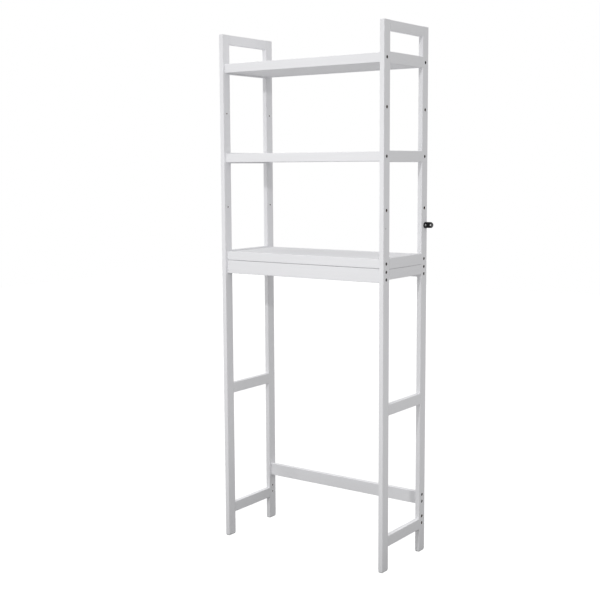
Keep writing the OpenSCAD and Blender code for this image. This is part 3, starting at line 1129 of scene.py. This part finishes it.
@dataclass
class Dowels:
    """Fluted beech dowels with chamfered ends, in the frames and the shelves."""

    radius: float = 3 * MM
    length: float = 30 * MM
    from_edge: float = 7.5 * MM
    panel_dowels: int = 4
    flutes: int = 12
    flute_depth: float = 0.22 * MM
    chamfer: float = 0.9 * MM
    around: int = 48

    def skin(self, length: float) -> Skin:
        """One dowel along X from zero to its length.

        Its radius is the dowel's less the flute depth times a raised cosine
        of the turn, to the fourth power, and shrinks over the chamfers.

        Args:
            length: The dowel's length.

        Returns:
            The dowel's closed skin.
        """
        turn = np.arange(self.around) * TAU / self.around
        flute = self.flute_depth * (0.5 + 0.5 * np.cos(turn * self.flutes)) ** 4
        middle = np.linspace(self.chamfer, length - self.chamfer, 7)
        along = np.concatenate([[0.0, 0.15 * MM], middle, [length - 0.15 * MM, length]])
        edge = self.radius - self.chamfer * 0.6
        body = self.radius - flute
        radii = np.stack([np.minimum(edge - 0.15 * MM, body), np.minimum(edge, body)] + [body] * len(middle))
        return Skin.over_rings([rings_about_x(along, np.concatenate([radii, radii[1::-1]]))])

    def lay(self, bench: Bench, node: str, skins: list[Skin], grain: Axis) -> None:
        """Adds a group of dowels.

        Args:
            bench: The bench.
            node: The node that they stand for.
            skins: The dowels' skins, in place.
            grain: The way they point.
        """
        finish = BareBeech({Axis.Y: "beech_dowel_y", Axis.Z: "beech_pin_z"}[grain], grain)
        bench.add(f"{node}_fluted", Skin.joined(skins).mesh(node), finish, "beech_dowel", node)

    def across(self, bench: Bench, node: str, spots: Spots) -> None:
        """Makes a group of dowels that point to the wall, alike in front and at the rear.

        Args:
            bench: The bench.
            node: The node that they stand for.
            spots: X and Z of each.
        """
        along_y = self.skin(self.length).turned((2, 0, 1)).moved(y=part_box(node)[1].y - self.length)
        rear = [along_y.moved(x=x, z=z) for x, z in spots]
        self.lay(bench, node, [s for r in rear for s in (r, r.mirrored(Axis.Y))], Axis.Y)

    def build(self, bench: Bench) -> None:
        """Makes the dowels of the frames and the shelves, and the pins between the halves.

        Args:
            bench: The bench.
        """
        for node, rails in (("upper_frame_dowels", UPPER_RAILS), ("lower_frame_dowels", LOWER_RAILS)):
            boxes = [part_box(f"{rail}_{side}") for side in SIDES for rail in rails]
            inset = self.from_edge
            spots = [((a.x + b.x) / 2, z) for a, b in boxes for z in (a.z + inset, b.z - inset)]
            self.across(bench, node, spots)
        spots = []
        for low, high in (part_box(f"{place}_shelf_panel") for place in SHELVES):
            pitch, level = (high.x - low.x) / self.panel_dowels, (low.z + high.z) / 2
            spots += [(low.x + (i + 0.5) * pitch, level) for i in range(self.panel_dowels)]
        self.across(bench, "shelf_dowels", spots)
        low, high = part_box("frame_joint_pins")
        upright = self.skin(high.z - low.z).turned((1, 2, 0)).moved(z=low.z)
        r = self.radius
        places = [(x, y) for x in (low.x + r, high.x - r) for y in (low.y + r, high.y - r)]
        self.lay(bench, "frame_joint_pins", [upright.moved(x=x, y=y) for x, y in places], Axis.Z)


# ---- Wall brackets and foot pads ----


@dataclass
class WallBracket:
    """An L-shaped steel bracket with round ends and a hole in each leg."""

    side: str
    thickness: float = 2 * MM
    bend: float = 3 * MM
    hole_in: float = 13 * MM
    hole: float = 2.0 * MM
    ease: float = 0.35 * MM
    around: int = 64
    bend_steps: int = 10

    def leg(self, length: float, width: float) -> tuple[np.ndarray, np.ndarray]:
        """One flat leg as rings from its hole to its outline.

        A ring is the hole's circle for share 0 and the outline for share 1,
        and between them their mean with that share.  The outline, seen from
        the hole, is the nearest of the bend line, the two long sides and the
        round end.

        Args:
            length: From the corner to the leg's round end.
            width: The leg's width.

        Returns:
            Flat points (distance from the corner, height) and quads.
        """
        half, end = width / 2, length - width / 2 - self.hole_in
        corner, shoulder = np.arctan2(half, self.bend - self.hole_in), np.arctan2(half, end)
        stops = [-corner, -shoulder, shoulder, corner, TAU - corner]
        quarter = self.around // 4
        turn = np.concatenate([np.linspace(a, b, quarter, endpoint=False) for a, b in zip(stops, stops[1:])])
        cos, sin = np.cos(turn), np.sin(turn)
        to_side = np.where(np.abs(sin) > 1e-9, half / np.maximum(np.abs(sin), 1e-9), np.inf)
        to_bend = np.where(cos < -1e-9, (self.hole_in - self.bend) / np.maximum(-cos, 1e-9), np.inf)
        to_round = cos * end + np.sqrt(half**2 - (sin * end) ** 2)
        straight = np.minimum(to_side, to_bend)
        reach = np.where(straight * cos > end, to_round, straight)
        share = np.array([0.0, 0.3, 0.65, 1.0])[:, None]
        radius = self.hole * (1 - share) + reach * share
        flat = np.stack([self.hole_in + radius * cos, radius * sin], 2)
        return flat.reshape(-1, 2), grid_quads(len(share), len(turn), wrap=True)

    def mesh(self, box: Box) -> bpy.types.Mesh:
        """The bracket's outer face, bent to its L, as one sheet.

        The bend is a quarter circle between the legs' bend lines, a grid of
        turn and height whose heights are those of the legs' own points.

        Args:
            box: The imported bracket's box, as on the right side.

        Returns:
            The sheet's mesh, ready for its thickness.
        """
        low, high = box
        width, level = high.z - low.z, (low.z + high.z) / 2
        wall, quads = self.leg(high.x - low.x, width)
        post, _ = self.leg(high.y - low.y, width)
        on_wall = np.stack([low.x + wall[:, 0], np.full(len(wall), high.y), level + wall[:, 1]], 1)
        on_post = np.stack([np.full(len(post), low.x), high.y - post[:, 0], level + post[:, 1]], 1)
        line = np.unique(np.round(wall[np.abs(wall[:, 0] - self.bend) < 1e-7, 1], 7))
        turn = np.repeat(np.linspace(0, np.pi / 2, self.bend_steps + 1), len(line))
        x = low.x + self.bend - self.bend * np.sin(turn)
        y = high.y - self.bend + self.bend * np.cos(turn)
        bent = np.stack([x, y, np.tile(level + line, self.bend_steps + 1)], 1)
        strip = grid_quads(self.bend_steps + 1, len(line))
        first, second = len(on_wall), len(on_wall) + len(on_post)
        points = np.concatenate([on_wall, on_post, bent])
        faces = np.concatenate([quads[:, ::-1], quads + first, strip + second])
        # neighbouring parts share their points along the bend lines
        _, keep, where = np.unique(np.round(points, 5), axis=0, return_index=True, return_inverse=True)
        points, faces = points[keep], where.reshape(-1)[faces]
        if self.side == "left":
            points, faces = points * np.array([-1, 1, 1]), faces[:, ::-1]
        return smooth_mesh(f"wall_bracket_{self.side}", points, faces.tolist())

    def build(self, bench: Bench) -> None:
        """Makes the bracket, with its steel's thickness and eased edges.

        Args:
            bench: The bench.
        """
        node = f"wall_bracket_{self.side}"
        low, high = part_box(node)
        if self.side == "left":
            low, high = Vector((-high.x, low.y, low.z)), Vector((-low.x, high.y, high.z))
        finish = BlackSteel("black_painted_bracket", gloss=0.3, coat=0.3, peel_size=0.9 * MM)
        piece = bench.add(f"{node}_steel", self.mesh((low, high)), finish, "black_bracket", node)
        inwards = {"thickness": self.thickness, "offset": -1.0, "use_even_offset": True}
        modify(piece, "steel_thickness", "SOLIDIFY", **inwards)
        round_off = {"limit_method": "ANGLE", "angle_limit": math.radians(50)}
        modify(piece, "eased_edges", "BEVEL", width=self.ease, segments=3, **round_off)
        modify(piece, "even_shading", "WEIGHTED_NORMAL", weight=50)


@dataclass
class FootPads:
    """Moulded pads under the four posts."""

    node: str = "foot_pads"
    width: float = 13 * MM
    depth: float = 32 * MM
    corner: float = 2 * MM
    ease: float = 0.5 * MM
    around: int = 64

    def skin(self, height: float) -> Skin:
        """One pad about Z, standing on zero.

        Rings are the rounded outline, drawn in at the bottom by a quarter
        circle of the easing and straight above it.

        Args:
            height: The pad's height.

        Returns:
            The pad's closed skin.
        """
        rise = np.linspace(0, np.pi / 2, 5)
        inset = np.concatenate([self.ease * (1 - np.sin(rise)), [0.0, 0.15 * MM]])
        level = np.concatenate([self.ease * (1 - np.cos(rise)), [height - 0.15 * MM, height]])
        rings = []
        for i, z in zip(inset, level):
            size = self.width - 2 * i, self.depth - 2 * i
            outline = rounded_outline(*size, self.corner - i * 0.9, self.around)
            rings.append(np.column_stack([outline, np.full(self.around, z)]))
        return Skin.over_rings([np.stack(rings)])

    def build(self, bench: Bench) -> None:
        """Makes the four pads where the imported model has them.

        Args:
            bench: The bench.
        """
        low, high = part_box(self.node)
        pad = self.skin(high.z - low.z)
        x, y = high.x - self.width / 2, high.y - self.depth / 2
        skins = [pad.moved(x=sx * x, y=sy * y) for sx in (-1, 1) for sy in (-1, 1)]
        mesh = Skin.joined(skins).mesh(self.node)
        bench.add("foot_pads_moulded", mesh, MouldedPad(), "foot_pad", self.node)


# ---- Camera and studio ----


@dataclass
class Viewpoint:
    """Where the camera stands and which way it looks: metres, degrees and millimetres of lens."""

    azimuth: float = 34.49
    distance: float = 3.4515
    height: float = 1.232
    pan: float = 35.68
    tilt: float = -7.05
    roll: float = -0.325
    lens: float = 64.9
    sensor: float = 36.0

    def matrix(self) -> Matrix:
        """The camera's place and turn.

        Its back axis points against the view, which is +Y turned left by the
        pan and down by the tilt; right and up are then turned by the roll.

        Returns:
            The camera's matrix.
        """
        azimuth, pan, tilt, roll = (math.radians(a) for a in (self.azimuth, self.pan, self.tilt, self.roll))
        forward = Vector((-math.sin(pan) * math.cos(tilt), math.cos(pan) * math.cos(tilt), math.sin(tilt)))
        level = Vector((math.cos(pan), math.sin(pan), 0.0))
        upright = level.cross(forward)
        right = math.cos(roll) * level + math.sin(roll) * upright
        up = math.cos(roll) * upright - math.sin(roll) * level
        eye = (self.distance * math.sin(azimuth), -self.distance * math.cos(azimuth), self.height)
        return Matrix.Translation(eye) @ Matrix((right, up, -forward)).transposed().to_4x4()

    def build(self) -> None:
        """Makes the camera and hands it to the scene."""
        data = bpy.data.cameras.new("camera")
        data.lens, data.sensor_width = self.lens, self.sensor
        data.clip_start, data.clip_end = 0.1, 60.0
        camera = bpy.data.objects.new("camera", data)
        bpy.context.scene.collection.objects.link(camera)
        camera.matrix_world = self.matrix()
        bpy.context.scene.camera = camera


@dataclass
class Lamp:
    """A spot lamp: where it stands, what it shines at, and how its edge fades."""

    name: str
    place: tuple[float, float, float]
    aim: tuple[float, float, float]
    power: float
    blend: float
    radius: float
    cone: float = 100.0

    def build(self) -> None:
        """Makes the lamp, turned towards what it shines at."""
        data = bpy.data.lights.new(self.name, "SPOT")
        data.energy, data.shadow_soft_size = self.power, self.radius
        data.spot_size, data.spot_blend = math.radians(self.cone), self.blend
        lamp = bpy.data.objects.new(self.name, data)
        bpy.context.scene.collection.objects.link(lamp)
        lamp.location = self.place
        way = Vector(self.aim) - Vector(self.place)
        lamp.rotation_euler = way.to_track_quat("-Z", "Y").to_euler()
        LOG.info("lamp %s, %.0f W", self.name, self.power)


@dataclass
class Studio:
    """A white studio: to the camera all of it is white, as a light it is dimmer below."""

    even: float = 0.45
    above: float = 1.0
    floor_colour: float = 0.1
    floor_near: float = 0.09
    floor_far: float = 0.4
    near_reach: float = 0.9
    floor_size: float = 14.0
    key: Lamp = field(
        default_factory=lambda: Lamp("key", (0.49, -1.87, 1.93), (-0.35, 0.0, 0.55), 46.0, 1.0, 0.035)
    )
    fill: Lamp = field(
        default_factory=lambda: Lamp("fill", (-1.0, -2.2, 0.9), (0.0, 0.0, 0.8), 23.0, 0.4, 0.4)
    )

    @staticmethod
    def white_to_camera(w: Wiring, light: Socket) -> Socket:
        """Returns a strength that is one to the camera, and else the light that is given."""
        seen = w.add("LightPath").outputs["Is Camera Ray"]
        return w.math("MULTIPLY_ADD", seen, w.math("SUBTRACT", 1.0, light), light)

    def floor(self) -> None:
        """Makes the floor.

        As a light it gives floor_near at the rack's foot and floor_far away
        from it, mixed by the squared distance over near_reach.
        """
        half = self.floor_size / 2
        mesh = bpy.data.meshes.new("studio_floor")
        corners = [(x * half, y * half, 0.0) for x, y in ((-1, -1), (1, -1), (1, 1), (-1, 1))]
        mesh.from_pydata(corners, [], [(0, 1, 2, 3)])
        floor = bpy.data.objects.new("studio_floor", mesh)
        bpy.context.scene.collection.objects.link(floor)
        material = bpy.data.materials.new("studio_floor")
        material.use_nodes = True
        material.node_tree.nodes.clear()
        w = Wiring(material.node_tree)
        away = w.vector("LENGTH", {0: w.add("TexCoord").outputs["Object"]}, "Value")
        away = w.math("POWER", w.math("DIVIDE", away, self.near_reach), 2.0)
        light = w.remap(away, 0.0, 1.0, self.floor_near, self.floor_far)
        diffuse = w.add("BsdfDiffuse", {"Color": rgba((self.floor_colour,) * 3)})
        glow = w.add("Emission", {"Strength": self.white_to_camera(w, light)})
        both = w.add("AddShader", {0: diffuse.outputs[0], 1: glow.outputs[0]})
        w.add("OutputMaterial", {"Surface": both.outputs[0]})
        mesh.materials.append(material)

    def surround(self) -> None:
        """Makes the surround: an even light, and above times the squared cosine from straight up."""
        world = bpy.data.worlds.new("studio")
        world.use_nodes = True
        world.node_tree.nodes.clear()
        w = Wiring(world.node_tree)
        upward = w.math("MAXIMUM", w.parts(w.add("TexCoord").outputs["Generated"])[2], 0.0)
        light = w.math("MULTIPLY_ADD", w.math("POWER", upward, 2.0), self.above, self.even)
        inputs = {"Color": rgba((1.0, 1.0, 1.0)), "Strength": self.white_to_camera(w, light)}
        back = w.add("Background", inputs)
        w.add("OutputWorld", {"Surface": back.outputs[0]})
        bpy.context.scene.world = world

    def build(self) -> None:
        """Makes the floor, the surround and the lamps, with plain display colours."""
        self.floor()
        self.surround()
        self.key.build()
        self.fill.build()
        view = bpy.context.scene.view_settings
        view.view_transform, view.look = "Standard", "None"


def main() -> None:
    """Builds the camera, the rack piece by piece, and the studio."""
    logging.basicConfig(level=logging.INFO, format="%(message)s")
    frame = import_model()
    Viewpoint().build()
    bench = Bench(frame["nodes"])
    parts: list[Any] = [SideFrame(side) for side in SIDES] + [Boards()]
    for kind, name in ((SocketBolts, "bolts"), (ThreadedInserts, "inserts")):
        parts += [kind(f"{place}_shelf_{name}") for place in SHELVES]
        parts += [kind(f"apron_{name}", pair=True), kind(f"stretcher_{name}", pair=True, ends=("rear",))]
    parts += [Dowels()] + [WallBracket(side) for side in SIDES]
    parts += [BracketScrews("bracket_screws", ends=("rear",)), FootPads()]
    for part in parts:
        part.build(bench)
    Studio().build()


if __name__ == "__main__":
    main()
